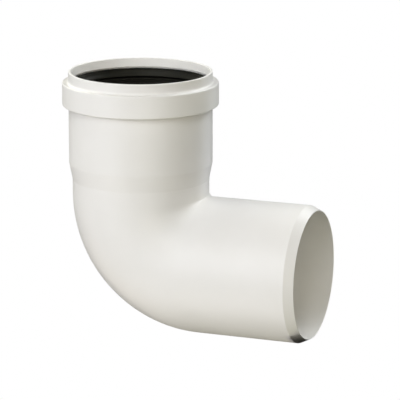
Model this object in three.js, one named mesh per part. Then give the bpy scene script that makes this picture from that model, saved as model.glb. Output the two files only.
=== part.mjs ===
// A ninety-degree elbow for an 80 mm plastic flue pipe: a moulded body and the lip seal in its socket.
//
// Millimetres, +Z up. The origin is the centre of the spigot's end plane. The spigot's axis is the X
// axis, with the open end facing +X, and the socket stands on a vertical axis behind it, mouth up.
//
// Each piece is a turned profile. The body's profile runs straight from the socket's rim to the
// spigot's end, and the turned solid is then bent through ninety degrees below the socket.

import * as THREE from "three";
import { mergeVertices } from "three/addons/utils/BufferGeometryUtils.js";

// Driving dimensions
const SPIGOT_RADIUS = 40; // the plug-in end, nominal diameter 80
const BORE_RADIUS = 37; // flow passage through the bend and the spigot
const SOCKET_BORE_RADIUS = 40.35; // guides the inserted pipe with 0.35 of clearance
const SOCKET_RADIUS = 41.9;
const COLLAR_RADIUS = 45.5; // the bead that houses the seal

const BEND_RADIUS = 40.4; // of the centreline, so that the inside of the bend is almost a sharp corner
const SPIGOT_STRAIGHT = 66.6; // from the end of the bend to the spigot's end
const CHAMFER_LENGTH = 5.4; // lead-in on the spigot
const SPIGOT_LIP = 0.4; // width of the flat ring left at the spigot's end

// Heights above the spigot's axis
const TAPER_BOTTOM = 49;
const PIPE_STOP = 58.2; // ledge that the inserted pipe's end meets
const TAPER_TOP = 58.7;
const COLLAR_BOTTOM = 92.9;
const COLLAR_TOP = 106.1;
const RIM = 112.3;

// The groove inside the collar, and the shallow seat above it for the seal's top band
const WALL = 1.7;
const GROOVE_RADIUS = COLLAR_RADIUS - WALL;
const GROOVE_BOTTOM = COLLAR_BOTTOM + WALL;
const GROOVE_TOP = COLLAR_TOP - WALL;
const SEAT_RADIUS = 41.35;
const SEAT_TOP = 106.6;

// Roundings
const COLLAR_EDGE = 0.7;
const SHOULDER_FILLET = 1.2; // between the collar's top face and the rim's wall
const RIM_EDGE = 0.35;
const SEAT_EDGE = 0.95; // where the socket's wall turns out to the seat

// The seal
const SEAL_GAP = 0.3; // between the seal and the walls that hold it
const BAND_RADIUS = 40.1; // its top band, inside
const BAND_BOTTOM = 105.6;
const NOTCH_RADIUS = 40.45; // a line between the band and the lip
const NOTCH_HEIGHT = 105.35;
const LIP_TOP_RADIUS = 40.15;
const LIP_TOP = 105.1;
const LIP_KNEE_RADIUS = 39.85; // where the lip starts to lean in
const LIP_KNEE = 103.8;
const LIP_TIP_RADIUS = 38.9;
const LIP_TIP = 102.1;
const POCKET_RADIUS = 41.9; // the gap that the lip folds back into
const POCKET_TOP = 103.2;
const POCKET_BOTTOM = 101;
const RIB_HEIGHTS = [100, 97.6];
const RIB_TIP_RADIUS = 39.3;
const RIB_ROOT_RADIUS = 40.9;
const TIP_WIDTH = 0.6; // of the lip and the ribs
const RIB_SLOPE = 0.4; // fall of each flank of a rib

// Fineness of the facets
const TURN_STEPS = 64; // round each piece
const BEND_STEPS = 12; // along the bend
const ROUND_STEPS = 2; // along each small rounding

const plastic = new THREE.MeshStandardMaterial({ color: 0xe9e6df, roughness: 0.42, metalness: 0 });
const rubber = new THREE.MeshStandardMaterial({ color: 0x1d1d1c, roughness: 0.62, metalness: 0 });

// Points of an arc about (radius, height), from one angle to another in degrees, ends included.
function arc(radius, height, size, from, to) {
  const start = THREE.MathUtils.degToRad(from);
  const end = THREE.MathUtils.degToRad(to);
  return new THREE.EllipseCurve(radius, height, size, size, start, end, to < from).getPoints(ROUND_STEPS);
}

function point(radius, height) {
  return new THREE.Vector2(radius, height);
}

// One row of a wall for each step of the bend, from its top end to its bottom end.
function bendRows(radius) {
  const bendLength = BEND_RADIUS * Math.PI / 2;
  const rows = [];
  for (let step = 0; step <= BEND_STEPS; step += 1) {
    rows.push(point(radius, BEND_RADIUS - bendLength * step / BEND_STEPS));
  }
  return rows;
}

// Turns a closed, anticlockwise profile of (radius, height) points round the Z axis.
function turned(profile) {
  const geometry = new THREE.LatheGeometry([...profile, profile[0]], TURN_STEPS);
  geometry.rotateX(Math.PI / 2);
  geometry.deleteAttribute("normal");
  geometry.deleteAttribute("uv");
  return mergeVertices(geometry, 1e-4);
}

// Bends what lies below the bend's top end through ninety degrees, from -Z towards +X. The bend's top
// end is as high above the spigot's axis as the bend's radius.
function bent(geometry) {
  const position = geometry.getAttribute("position");
  const bendLength = BEND_RADIUS * Math.PI / 2;
  for (let i = 0; i < position.count; i += 1) {
    const along = BEND_RADIUS - position.getZ(i);
    if (along > 0) {
      const angle = Math.min(along, bendLength) / BEND_RADIUS;
      const beyond = Math.max(along - bendLength, 0);
      const reach = BEND_RADIUS - position.getX(i);
      position.setX(i, BEND_RADIUS - reach * Math.cos(angle) + beyond);
      position.setZ(i, BEND_RADIUS - reach * Math.sin(angle));
    }
  }
  return geometry;
}

// The moulding, anticlockwise: from the spigot's end up the outside to the rim, then down the inside.
function bodyProfile() {
  const tail = BEND_RADIUS - BEND_RADIUS * Math.PI / 2 - SPIGOT_STRAIGHT;
  const collarEdge = COLLAR_RADIUS - COLLAR_EDGE;
  const fillet = SHOULDER_FILLET;
  return [
    point(BORE_RADIUS + SPIGOT_LIP, tail),
    point(SPIGOT_RADIUS, tail + CHAMFER_LENGTH),
    ...bendRows(SPIGOT_RADIUS).reverse(),
    point(SPIGOT_RADIUS, TAPER_BOTTOM),
    point(SOCKET_RADIUS, TAPER_TOP),
    point(SOCKET_RADIUS, COLLAR_BOTTOM),
    ...arc(collarEdge, COLLAR_BOTTOM + COLLAR_EDGE, COLLAR_EDGE, -90, 0),
    ...arc(collarEdge, COLLAR_TOP - COLLAR_EDGE, COLLAR_EDGE, 0, 90),
    ...arc(SOCKET_RADIUS + fillet, COLLAR_TOP + fillet, fillet, 270, 180),
    ...arc(SOCKET_RADIUS - RIM_EDGE, RIM - RIM_EDGE, RIM_EDGE, 0, 90),
    ...arc(SOCKET_BORE_RADIUS + RIM_EDGE, RIM - RIM_EDGE, RIM_EDGE, 90, 180),
    ...arc(SOCKET_BORE_RADIUS + SEAT_EDGE, SEAT_TOP + SEAT_EDGE, SEAT_EDGE, 180, 270),
    point(SEAT_RADIUS, SEAT_TOP),
    point(SEAT_RADIUS, GROOVE_TOP),
    point(GROOVE_RADIUS, GROOVE_TOP),
    point(GROOVE_RADIUS, GROOVE_BOTTOM),
    point(SOCKET_BORE_RADIUS, GROOVE_BOTTOM),
    point(SOCKET_BORE_RADIUS, PIPE_STOP),
    point(BORE_RADIUS, PIPE_STOP),
    ...bendRows(BORE_RADIUS),
    point(BORE_RADIUS, tail),
  ];
}

// The seal, anticlockwise: the ring that fills the groove and its top band outside, then inside the
// band, the notch, the conical lip with its pocket behind it, and the ribs, each with a blunt tip.
function sealProfile() {
  const outer = GROOVE_RADIUS - SEAL_GAP;
  const bottom = GROOVE_BOTTOM + SEAL_GAP;
  const shoulder = GROOVE_TOP - SEAL_GAP;
  const bandOutside = SEAT_RADIUS - SEAL_GAP;
  const bandTop = SEAT_TOP - SEAL_GAP;
  const halfTip = TIP_WIDTH / 2;
  const ribs = RIB_HEIGHTS.flatMap((height) => [
    point(RIB_ROOT_RADIUS, height + halfTip + RIB_SLOPE),
    point(RIB_TIP_RADIUS, height + halfTip),
    point(RIB_TIP_RADIUS, height - halfTip),
    point(RIB_ROOT_RADIUS, height - halfTip - RIB_SLOPE),
  ]);
  return [
    point(outer, bottom),
    point(outer, shoulder),
    point(bandOutside, shoulder),
    point(bandOutside, bandTop),
    point(BAND_RADIUS, bandTop),
    point(BAND_RADIUS, BAND_BOTTOM),
    point(NOTCH_RADIUS, NOTCH_HEIGHT),
    point(LIP_TOP_RADIUS, LIP_TOP),
    point(LIP_KNEE_RADIUS, LIP_KNEE),
    point(LIP_TIP_RADIUS, LIP_TIP),
    point(LIP_TIP_RADIUS, LIP_TIP - TIP_WIDTH),
    point(POCKET_RADIUS, POCKET_TOP),
    point(POCKET_RADIUS, POCKET_BOTTOM),
    ...ribs,
    point(RIB_ROOT_RADIUS, bottom),
  ];
}

const elbowBody = new THREE.Mesh(bent(turned(bodyProfile())), plastic);
elbowBody.name = "elbow_body";

const lipSeal = new THREE.Mesh(turned(sealProfile()), rubber);
lipSeal.name = "lip_seal";

const flueElbow = new THREE.Group();
flueElbow.add(elbowBody, lipSeal);
flueElbow.position.x = -(BEND_RADIUS + SPIGOT_STRAIGHT);

export default flueElbow;
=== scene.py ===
"""A ninety-degree elbow for an 80 mm plastic flue pipe, with the lip seal in its socket.

The CAD frame gives the elbow's size and place. This script stands a fine surface for each CAD node,
gives both their materials, and adds the floor, the lights and the camera. Lengths are in metres.
"""

from math import cos, pi, radians, sin, tan

import bpy
from mathutils import Matrix, Vector


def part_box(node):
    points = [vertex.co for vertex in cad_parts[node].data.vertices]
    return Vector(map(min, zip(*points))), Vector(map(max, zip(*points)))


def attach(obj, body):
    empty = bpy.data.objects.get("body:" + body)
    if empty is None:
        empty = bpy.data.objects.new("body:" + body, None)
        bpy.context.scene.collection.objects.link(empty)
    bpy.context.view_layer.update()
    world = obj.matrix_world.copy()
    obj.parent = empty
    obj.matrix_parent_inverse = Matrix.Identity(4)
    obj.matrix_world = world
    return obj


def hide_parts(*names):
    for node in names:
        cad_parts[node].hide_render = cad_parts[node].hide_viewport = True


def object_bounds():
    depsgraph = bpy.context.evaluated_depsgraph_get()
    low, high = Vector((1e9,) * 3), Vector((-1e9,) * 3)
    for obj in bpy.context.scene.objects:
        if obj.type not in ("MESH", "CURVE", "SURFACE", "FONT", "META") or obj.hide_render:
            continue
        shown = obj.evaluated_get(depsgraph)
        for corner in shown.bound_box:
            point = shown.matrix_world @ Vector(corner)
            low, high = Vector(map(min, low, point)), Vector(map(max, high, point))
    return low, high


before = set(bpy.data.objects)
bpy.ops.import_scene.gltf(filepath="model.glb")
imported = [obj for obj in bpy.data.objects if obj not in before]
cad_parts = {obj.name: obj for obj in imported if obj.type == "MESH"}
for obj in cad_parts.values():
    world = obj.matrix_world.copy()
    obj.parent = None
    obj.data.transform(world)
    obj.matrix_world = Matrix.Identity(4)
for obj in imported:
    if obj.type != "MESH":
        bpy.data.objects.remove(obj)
cad_low, cad_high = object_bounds()

MM = 0.001

# Sizes read from the frame. The origin is the centre of the spigot's end.
body_low, body_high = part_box("elbow_body")
seal_low, seal_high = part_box("lip_seal")
SPIGOT_RADIUS = -body_low.z
COLLAR_RADIUS = body_high.y
RIM = body_high.z
SOCKET_AXIS = body_low.x + COLLAR_RADIUS
SEAL_RADIUS = seal_high.y
SEAL_BOTTOM = seal_low.z
SEAL_TOP = seal_high.z

# The moulding's other sizes
BORE_RADIUS = 37 * MM
SOCKET_BORE_RADIUS = 40.35 * MM
SOCKET_RADIUS = 41.9 * MM
BEND_RADIUS = 40.4 * MM
CHAMFER_LENGTH = 5.4 * MM
SPIGOT_LIP = 0.4 * MM
SEAL_GAP = 0.3 * MM
WALL = 1.7 * MM
SEAT_RADIUS = 41.35 * MM
GROOVE_RADIUS = COLLAR_RADIUS - WALL

# Heights above the spigot's axis
TAPER_BOTTOM = 49 * MM
PIPE_STOP = 58.2 * MM
TAPER_TOP = 58.7 * MM
COLLAR_BOTTOM = 92.9 * MM
COLLAR_TOP = 106.1 * MM
GROOVE_BOTTOM = COLLAR_BOTTOM + WALL
GROOVE_TOP = COLLAR_TOP - WALL
SEAT_TOP = SEAL_TOP + SEAL_GAP

# The moulding's roundings
SPIGOT_END_EDGE = 0.08 * MM
SPIGOT_BORE_EDGE = 0.33 * MM
CHAMFER_EDGE = 1.2 * MM
TAPER_BOTTOM_EDGE = 2.5 * MM
TAPER_TOP_EDGE = 5 * MM
COLLAR_CORNER = 0.25 * MM  # between the socket's wall and the collar's underside
COLLAR_EDGE = 0.7 * MM
SHOULDER_FILLET = 1.2 * MM
RIM_EDGE = 0.35 * MM
SEAT_EDGE = 0.95 * MM
SEAT_CORNER = 0.04 * MM
GROOVE_EDGE = 0.1 * MM
GROOVE_CORNER = 0.4 * MM
GROOVE_BOTTOM_EDGE = 0.2 * MM
PIPE_STOP_CORNER = 0.3 * MM
PIPE_STOP_EDGE = 0.5 * MM

# The seal
BAND_RADIUS = 40.1 * MM
BAND_BOTTOM = 105.6 * MM
NOTCH_RADIUS = 40.45 * MM
NOTCH_HEIGHT = 105.35 * MM
LIP_TOP_RADIUS = 40.15 * MM
LIP_TOP = 105.1 * MM
LIP_KNEE_RADIUS = 39.85 * MM
LIP_KNEE = 103.8 * MM
LIP_TIP_RADIUS = 38.9 * MM
LIP_TIP = 102.1 * MM
POCKET_RADIUS = 41.9 * MM
POCKET_TOP = 103.2 * MM
POCKET_BOTTOM = 101 * MM
RIB_HEIGHTS = (100 * MM, 97.6 * MM)
RIB_TIP_RADIUS = 39.3 * MM
RIB_ROOT_RADIUS = 40.9 * MM
TIP_WIDTH = 0.6 * MM
RIB_SLOPE = 0.4 * MM
SHOULDER = GROOVE_TOP - SEAL_GAP
BAND_OUTSIDE = SEAT_RADIUS - SEAL_GAP

# The seal's roundings
SEAL_CORNER = 0.4 * MM
SHOULDER_CORNER = 0.1 * MM
BAND_OUTER_EDGE = 0.12 * MM
BAND_INNER_EDGE = 0.25 * MM
NOTCH_EDGE = 0.15 * MM
NOTCH_ROOT = 0.06 * MM
KNEE_BEND = 2 * MM
LIP_TIP_EDGE = 0.3 * MM
LIP_BACK_EDGE = 0.15 * MM
POCKET_CORNER = 0.5 * MM
RIB_EDGE = 0.25 * MM
SEAL_BOTTOM_EDGE = 0.3 * MM

BEND_LENGTH = BEND_RADIUS * pi / 2
TAIL = BEND_RADIUS - BEND_LENGTH - (-SOCKET_AXIS - BEND_RADIUS)

# Fineness of the surfaces
TURN_STEPS = 224
BEND_STEPS = 72
ARC_STEPS = 7
EDGE_HOLD = 0.12 * MM  # from a rounding's end to the point that keeps the wall beside it flat
HOLD_ROOM = 3 * EDGE_HOLD  # the least wall that gets such a point

# The materials' colours and gloss
PLASTIC_DEEP = (0.85, 0.832, 0.805)
PLASTIC_PALE = (0.88, 0.862, 0.84)
PLASTIC_IOR = 1.49
RUBBER_DEEP = (0.007, 0.0069, 0.0055)
RUBBER_BLOOM = (0.013, 0.0128, 0.01)
RUBBER_SPECULAR = 0.22
RUBBER_TINT = (1, 0.99, 0.85)
NOISE_LOW = 0.3
NOISE_HIGH = 0.7

# The studio
WHITE = (1, 1, 1)
BLACK = (0, 0, 0)
AMBIENT = 0.01  # strength of the light from the surroundings
AMBIENT_COLOUR = (0.95, 0.97, 1.0)
FLOOR_HALF = 3.0
FLOOR_DROP = 0.2 * MM  # keeps the floor clear of the elbow's lowest line
LAMP_DISTANCE = 1.5
LAMP_SIZE = 0.9

# The card that shades the spigot's lowest edge
FLAG_GAP = 1.5 * MM
FLAG_BEHIND = 6.5 * MM  # how far it reaches behind the spigot's end
FLAG_BEYOND = 60 * MM
FLAG_REACH = radians(41)  # to each side of the spigot's underside
FLAG_STEPS = 12
FLAG_COLOUR = (0.01, 0.01, 0.01)

# The camera, with its lens and sensor in millimetres
CAMERA_AZIMUTH = 20.75
CAMERA_ELEVATION = 13.82
CAMERA_DISTANCE = 1493 * MM
AIM_ASIDE = 34.5 * MM
AIM_HEIGHT = 35.2 * MM
LENS = 229
SENSOR_WIDTH = 36
CLIP_END = 20


def arc_points(before, here, after, size):
    """The arc of radius size that rounds the corner here, and a holding point beyond each end."""
    into = (before - here).normalized()
    out = (after - here).normalized()
    half = into.angle(out) / 2
    reach = size / tan(half)
    centre = here + (into + out).normalized() * (size / sin(half))
    start = here + into * reach - centre
    turn = pi - 2 * half
    if into.x * out.y - into.y * out.x > 0:
        turn = -turn
    points = []
    if (before - here).length > reach + HOLD_ROOM:
        points.append(here + into * (reach + EDGE_HOLD))
    for step in range(ARC_STEPS + 1):
        points.append(centre + Matrix.Rotation(turn * step / ARC_STEPS, 2) @ start)
    if (after - here).length > reach + HOLD_ROOM:
        points.append(here + out * (reach + EDGE_HOLD))
    return points


def rounded(corners):
    """The closed outline through (radius, height, rounding) corners."""
    places = [Vector(corner[:2]) for corner in corners]
    outline = []
    for i, corner in enumerate(corners):
        after = places[(i + 1) % len(corners)]
        outline += arc_points(places[i - 1], places[i], after, corner[2])
    return outline


def bend_rows(outline):
    """The outline with a row of points for each step of the bend on the walls that pass through it."""
    rows = []
    for i, here in enumerate(outline):
        rows.append(here)
        after = outline[(i + 1) % len(outline)]
        heights = [BEND_RADIUS - BEND_LENGTH * step / BEND_STEPS for step in range(BEND_STEPS + 1)]
        if after.y > here.y:
            heights.reverse()
        low, high = sorted((here.y, after.y))
        for height in heights:
            if low < height < high:
                rows.append(here.lerp(after, (height - here.y) / (after.y - here.y)))
    return rows


def place(radius, height, angle):
    """Where a point of the turned shape lies once its tail is bent towards +X."""
    across = radius * cos(angle)
    side = radius * sin(angle)
    along = BEND_RADIUS - height
    if along <= 0:
        return (SOCKET_AXIS + across, side, height)
    turned = min(along, BEND_LENGTH) / BEND_RADIUS
    beyond = max(along - BEND_LENGTH, 0)
    reach = BEND_RADIUS - across
    forward = SOCKET_AXIS + BEND_RADIUS - reach * cos(turned) + beyond
    return (forward, side, BEND_RADIUS - reach * sin(turned))


def turned_piece(name, outline, material, node):
    """Turns a closed outline round the socket's axis, bends its tail, and stands it for a CAD node."""
    angles = [2 * pi * step / TURN_STEPS for step in range(TURN_STEPS)]
    points = [place(row.x, row.y, angle) for row in outline for angle in angles]
    faces = []
    for row in range(len(outline)):
        below = row * TURN_STEPS
        above = (row + 1) % len(outline) * TURN_STEPS
        for step in range(TURN_STEPS):
            beside = (step + 1) % TURN_STEPS
            faces.append((below + step, below + beside, above + beside, above + step))
    mesh = bpy.data.meshes.new(name)
    mesh.from_pydata(points, [], faces)
    mesh.shade_smooth()
    mesh.materials.append(material)
    piece = bpy.data.objects.new(name, mesh)
    bpy.context.scene.collection.objects.link(piece)
    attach(piece, "root")
    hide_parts(node)


# The outlines run anticlockwise, with the radius to the right and the height up.

def body_outline():
    """The moulding: from the spigot's end up the outside to the rim, then down the inside."""
    return bend_rows(rounded([
        (BORE_RADIUS + SPIGOT_LIP, TAIL, SPIGOT_END_EDGE),
        (SPIGOT_RADIUS, TAIL + CHAMFER_LENGTH, CHAMFER_EDGE),
        (SPIGOT_RADIUS, TAPER_BOTTOM, TAPER_BOTTOM_EDGE),
        (SOCKET_RADIUS, TAPER_TOP, TAPER_TOP_EDGE),
        (SOCKET_RADIUS, COLLAR_BOTTOM, COLLAR_CORNER),
        (COLLAR_RADIUS, COLLAR_BOTTOM, COLLAR_EDGE),
        (COLLAR_RADIUS, COLLAR_TOP, COLLAR_EDGE),
        (SOCKET_RADIUS, COLLAR_TOP, SHOULDER_FILLET),
        (SOCKET_RADIUS, RIM, RIM_EDGE),
        (SOCKET_BORE_RADIUS, RIM, RIM_EDGE),
        (SOCKET_BORE_RADIUS, SEAT_TOP, SEAT_EDGE),
        (SEAT_RADIUS, SEAT_TOP, SEAT_CORNER),
        (SEAT_RADIUS, GROOVE_TOP, GROOVE_EDGE),
        (GROOVE_RADIUS, GROOVE_TOP, GROOVE_CORNER),
        (GROOVE_RADIUS, GROOVE_BOTTOM, GROOVE_CORNER),
        (SOCKET_BORE_RADIUS, GROOVE_BOTTOM, GROOVE_BOTTOM_EDGE),
        (SOCKET_BORE_RADIUS, PIPE_STOP, PIPE_STOP_CORNER),
        (BORE_RADIUS, PIPE_STOP, PIPE_STOP_EDGE),
        (BORE_RADIUS, TAIL, SPIGOT_BORE_EDGE),
    ]))


def seal_outline():
    """The seal: its top band, a notch, the lip with its knee and the pocket behind it, and two ribs."""
    corners = [
        (SEAL_RADIUS, SEAL_BOTTOM, SEAL_CORNER),
        (SEAL_RADIUS, SHOULDER, SEAL_CORNER),
        (BAND_OUTSIDE, SHOULDER, SHOULDER_CORNER),
        (BAND_OUTSIDE, SEAL_TOP, BAND_OUTER_EDGE),
        (BAND_RADIUS, SEAL_TOP, BAND_INNER_EDGE),
        (BAND_RADIUS, BAND_BOTTOM, NOTCH_EDGE),
        (NOTCH_RADIUS, NOTCH_HEIGHT, NOTCH_ROOT),
        (LIP_TOP_RADIUS, LIP_TOP, NOTCH_EDGE),
        (LIP_KNEE_RADIUS, LIP_KNEE, KNEE_BEND),
        (LIP_TIP_RADIUS, LIP_TIP, LIP_TIP_EDGE),
        (LIP_TIP_RADIUS, LIP_TIP - TIP_WIDTH, LIP_BACK_EDGE),
        (POCKET_RADIUS, POCKET_TOP, POCKET_CORNER),
        (POCKET_RADIUS, POCKET_BOTTOM, POCKET_CORNER),
    ]
    for height in RIB_HEIGHTS:
        top = height + TIP_WIDTH / 2
        bottom = height - TIP_WIDTH / 2
        corners += [
            (RIB_ROOT_RADIUS, top + RIB_SLOPE, RIB_EDGE),
            (RIB_TIP_RADIUS, top, RIB_EDGE),
            (RIB_TIP_RADIUS, bottom, RIB_EDGE),
            (RIB_ROOT_RADIUS, bottom - RIB_SLOPE, RIB_EDGE),
        ]
    corners.append((RIB_ROOT_RADIUS, SEAL_BOTTOM, SEAL_BOTTOM_EDGE))
    return rounded(corners)


# Materials

def new_material(name):
    """A node material with only its Principled shader, and that shader."""
    material = bpy.data.materials.new(name)
    material.use_nodes = True
    shader = material.node_tree.nodes["Principled BSDF"]
    return material, shader


def noise(tree, scale, detail, roughness):
    """Noise in the object's own coordinates, scale in waves per metre."""
    where = tree.nodes.new("ShaderNodeTexCoord")
    texture = tree.nodes.new("ShaderNodeTexNoise")
    texture.inputs["Scale"].default_value = scale
    texture.inputs["Detail"].default_value = detail
    texture.inputs["Roughness"].default_value = roughness
    tree.links.new(where.outputs["Object"], texture.inputs["Vector"])
    return texture.outputs["Fac"]


def two_tone(tree, value, low, high):
    """Runs from one colour to another. Each of low and high is a value and its colour."""
    node = tree.nodes.new("ShaderNodeValToRGB")
    for stop, (position, colour) in zip(node.color_ramp.elements, (low, high)):
        stop.position = position
        stop.color = (*colour, 1)
    tree.links.new(value, node.inputs["Fac"])
    return node.outputs["Color"]


def spread(tree, value, low, high):
    """Maps noise between NOISE_LOW and NOISE_HIGH to a number between low and high."""
    node = tree.nodes.new("ShaderNodeMapRange")
    node.inputs["From Min"].default_value = NOISE_LOW
    node.inputs["From Max"].default_value = NOISE_HIGH
    node.inputs["To Min"].default_value = low
    node.inputs["To Max"].default_value = high
    tree.links.new(value, node.inputs["Value"])
    return node.outputs["Result"]


def bumps(tree, shader, value, depth):
    """A bump of the given depth, on top of any bump that the shader already has."""
    node = tree.nodes.new("ShaderNodeBump")
    node.inputs["Distance"].default_value = depth
    tree.links.new(value, node.inputs["Height"])
    if shader.inputs["Normal"].is_linked:
        tree.links.new(shader.inputs["Normal"].links[0].from_socket, node.inputs["Normal"])
    tree.links.new(node.outputs["Normal"], shader.inputs["Normal"])


def moulded_plastic():
    """Off-white moulded polypropylene: satin, very slightly mottled, with a fine grain and soft waves."""
    material, shader = new_material("moulded_plastic")
    tree = material.node_tree
    mottle = noise(tree, scale=26, detail=4, roughness=0.55)
    colour = two_tone(tree, mottle, (NOISE_LOW, PLASTIC_DEEP), (NOISE_HIGH, PLASTIC_PALE))
    tree.links.new(colour, shader.inputs["Base Color"])
    gloss = noise(tree, scale=60, detail=5, roughness=0.6)
    tree.links.new(spread(tree, gloss, low=0.36, high=0.46), shader.inputs["Roughness"])
    shader.inputs["IOR"].default_value = PLASTIC_IOR
    grain = noise(tree, scale=1400, detail=2, roughness=0.5)
    waves = noise(tree, scale=38, detail=2, roughness=0.4)
    bumps(tree, shader, grain, depth=0.012 * MM)
    bumps(tree, shader, waves, depth=0.06 * MM)
    return material


def seal_rubber():
    """Smooth black rubber with a faint bloom and a fine grain."""
    material, shader = new_material("seal_rubber")
    tree = material.node_tree
    bloom = noise(tree, scale=90, detail=5, roughness=0.6)
    colour = two_tone(tree, bloom, (0.35, RUBBER_DEEP), (0.75, RUBBER_BLOOM))
    tree.links.new(colour, shader.inputs["Base Color"])
    gloss = noise(tree, scale=140, detail=4, roughness=0.6)
    tree.links.new(spread(tree, gloss, low=0.45, high=0.6), shader.inputs["Roughness"])
    shader.inputs["Specular IOR Level"].default_value = RUBBER_SPECULAR
    shader.inputs["Specular Tint"].default_value = (*RUBBER_TINT, 1)
    grain = noise(tree, scale=2200, detail=3, roughness=0.6)
    bumps(tree, shader, grain, depth=0.02 * MM)
    return material


# The elbow

turned_piece("moulded_body", body_outline(), moulded_plastic(), "elbow_body")
turned_piece("rubber_seal", seal_outline(), seal_rubber(), "lip_seal")


# Floor, lights and camera

def direction(azimuth, elevation):
    """The unit vector towards a place round the object: azimuth 0 is -Y and 90 is +X."""
    a = radians(azimuth)
    e = radians(elevation)
    return Vector((sin(a) * cos(e), -cos(a) * cos(e), sin(e)))


def aim(thing, target):
    """Turns a lamp or camera to face the target."""
    thing.rotation_euler = (target - thing.location).to_track_quat("-Z", "Y").to_euler()


def staged(name, points, faces, material):
    """Stands a mesh beside the elbow, as part of the studio."""
    mesh = bpy.data.meshes.new(name)
    mesh.from_pydata(points, [], faces)
    mesh.materials.append(material)
    thing = bpy.data.objects.new(name, mesh)
    bpy.context.scene.collection.objects.link(thing)
    return thing


def pale_floor():
    """A plain white floor under the elbow, without shadows. It lights nothing, and the lamps do that."""
    material, shader = new_material("floor_white")
    shader.inputs["Base Color"].default_value = (*BLACK, 1)
    shader.inputs["Specular IOR Level"].default_value = 0
    shader.inputs["Emission Color"].default_value = (*WHITE, 1)
    shader.inputs["Emission Strength"].default_value = 1
    signs = ((-1, -1), (1, -1), (1, 1), (-1, 1))
    corners = [(FLOOR_HALF * x, FLOOR_HALF * y, 0) for x, y in signs]
    floor = staged("floor", corners, [(0, 1, 2, 3)], material)
    floor.location.z = cad_low.z - FLOOR_DROP
    floor.visible_diffuse = False
    floor.visible_glossy = False
    floor.visible_shadow = False


def flag():
    """A curved black card close under the spigot's end, which shades its lowest edge.

    The camera doesn't see the card.
    """
    radius = SPIGOT_RADIUS + FLAG_GAP
    ends = (cad_high.x - FLAG_BEHIND, cad_high.x + FLAG_BEYOND)
    points = []
    for step in range(FLAG_STEPS + 1):
        angle = FLAG_REACH * (2 * step / FLAG_STEPS - 1)
        points += [(end, radius * sin(angle), -radius * cos(angle)) for end in ends]
    faces = [(2 * step, 2 * step + 1, 2 * step + 3, 2 * step + 2) for step in range(FLAG_STEPS)]
    material, shader = new_material("flag_black")
    shader.inputs["Base Color"].default_value = (*FLAG_COLOUR, 1)
    shader.inputs["Roughness"].default_value = 1
    card = staged("flag", points, faces, material)
    card.visible_camera = False


def surroundings():
    """A white studio to the camera, and a very dim one to the object, which the lamps light."""
    world = bpy.data.worlds.new("studio")
    world.use_nodes = True
    tree = world.node_tree
    lit = tree.nodes["Background"]
    lit.inputs["Color"].default_value = (*AMBIENT_COLOUR, 1)
    lit.inputs["Strength"].default_value = AMBIENT
    seen = tree.nodes.new("ShaderNodeBackground")
    seen.inputs["Color"].default_value = (*WHITE, 1)
    paths = tree.nodes.new("ShaderNodeLightPath")
    mix = tree.nodes.new("ShaderNodeMixShader")
    tree.links.new(paths.outputs["Is Camera Ray"], mix.inputs["Fac"])
    tree.links.new(lit.outputs["Background"], mix.inputs[1])
    tree.links.new(seen.outputs["Background"], mix.inputs[2])
    tree.links.new(mix.outputs["Shader"], tree.nodes["World Output"].inputs["Surface"])
    bpy.context.scene.world = world


def softbox(name, azimuth, elevation, power, colour):
    """A square lamp that faces the middle of the elbow from LAMP_DISTANCE away, power in watts."""
    middle = (cad_low + cad_high) / 2
    data = bpy.data.lights.new(name, "AREA")
    data.shape = "SQUARE"
    data.size = LAMP_SIZE
    data.energy = power
    data.color = colour
    lamp = bpy.data.objects.new(name, data)
    lamp.location = middle + direction(azimuth, elevation) * LAMP_DISTANCE
    aim(lamp, middle)
    bpy.context.scene.collection.objects.link(lamp)


def camera_in_front():
    """Stands the camera in front, to the right and above. It looks at a point between the two ends."""
    data = bpy.data.cameras.new("camera")
    data.sensor_width = SENSOR_WIDTH
    data.lens = LENS
    data.clip_end = CLIP_END
    camera = bpy.data.objects.new("camera", data)
    bpy.context.scene.collection.objects.link(camera)
    bpy.context.scene.camera = camera
    turn = radians(CAMERA_AZIMUTH)
    to_right = Vector((cos(turn), sin(turn), 0))
    target = Vector((SOCKET_AXIS, 0, AIM_HEIGHT)) + to_right * AIM_ASIDE
    camera.location = target + direction(CAMERA_AZIMUTH, CAMERA_ELEVATION) * CAMERA_DISTANCE
    aim(camera, target)


pale_floor()
surroundings()
flag()

# Each lamp has its azimuth and elevation in degrees, its power in watts and its colour.
softbox("key", -30, 12, 8.9, (0.87, 0.91, 1.0))
softbox("front_right", 30, 12, 4.6, (1.0, 0.95, 0.72))
softbox("front_high", 0, 38, 8.8, (0.97, 0.98, 1.0))
softbox("right_high", 60, 38, 2, (1.0, 0.97, 0.91))
softbox("left_high", -90, 38, 1.5, (0.96, 1.0, 0.65))
softbox("back_left", -120, 38, 11.5, (0.98, 1.0, 0.93))
softbox("top_left", -90, 65, 3.4, (1.0, 0.95, 0.87))
softbox("back_right", 150, 38, 16, (0.94, 0.98, 1.0))
softbox("back_right_low", 150, -20, 2.8, (0.84, 0.9, 1.0))
softbox("left_low", -90, -45, 4, (1.0, 0.91, 0.74))
softbox("front_low", -30, -45, 6.4, (1.0, 0.97, 0.91))
softbox("right_low", 90, -45, 3.9, (1.0, 1.0, 0.7))

camera_in_front()

bpy.context.scene.view_settings.view_transform = "Standard"
